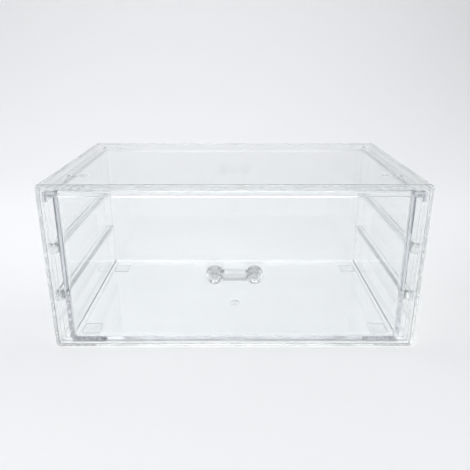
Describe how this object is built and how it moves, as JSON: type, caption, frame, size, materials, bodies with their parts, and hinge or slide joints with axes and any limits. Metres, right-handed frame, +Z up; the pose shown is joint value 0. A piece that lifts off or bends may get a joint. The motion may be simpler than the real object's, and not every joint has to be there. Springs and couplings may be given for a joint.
{
  "type": "cosmetic storage drawer",
  "caption": "Clear moulded box with an open front, holding one full-height pull-out drawer with a bar handle between faceted knobs; stands on square pads and stacks.",
  "frame": {"origin": "on the ground, under the middle of the whole object with its handle", "axes": "+X to the right seen from the front, +Y to the back, +Z up; the drawer's front faces -Y"},
  "size_m": [0.24, 0.1518, 0.113],
  "materials": {
    "clear_case": "clear moulded polystyrene, high gloss",
    "clear_drawer": "clear moulded polystyrene, high gloss",
    "crystal_handle": "clear acrylic, polished and faceted",
    "soft_pad": "clear soft pad, slightly frosted"
  },
  "bodies": {
    "case": {"outer_case": "clear_case", "foot_front_left": "soft_pad", "foot_front_right": "soft_pad", "foot_back_left": "soft_pad", "foot_back_right": "soft_pad"},
    "drawer": {"drawer_tray": "clear_drawer", "handle_bar": "crystal_handle", "knob_left": "crystal_handle", "knob_right": "crystal_handle"}
  },
  "joints": [
    {"name": "drawer_slide", "type": "slide", "parent": "case", "child": "drawer", "axis": [0, -1, 0], "range_m": [0, 0.105]}
  ]
}
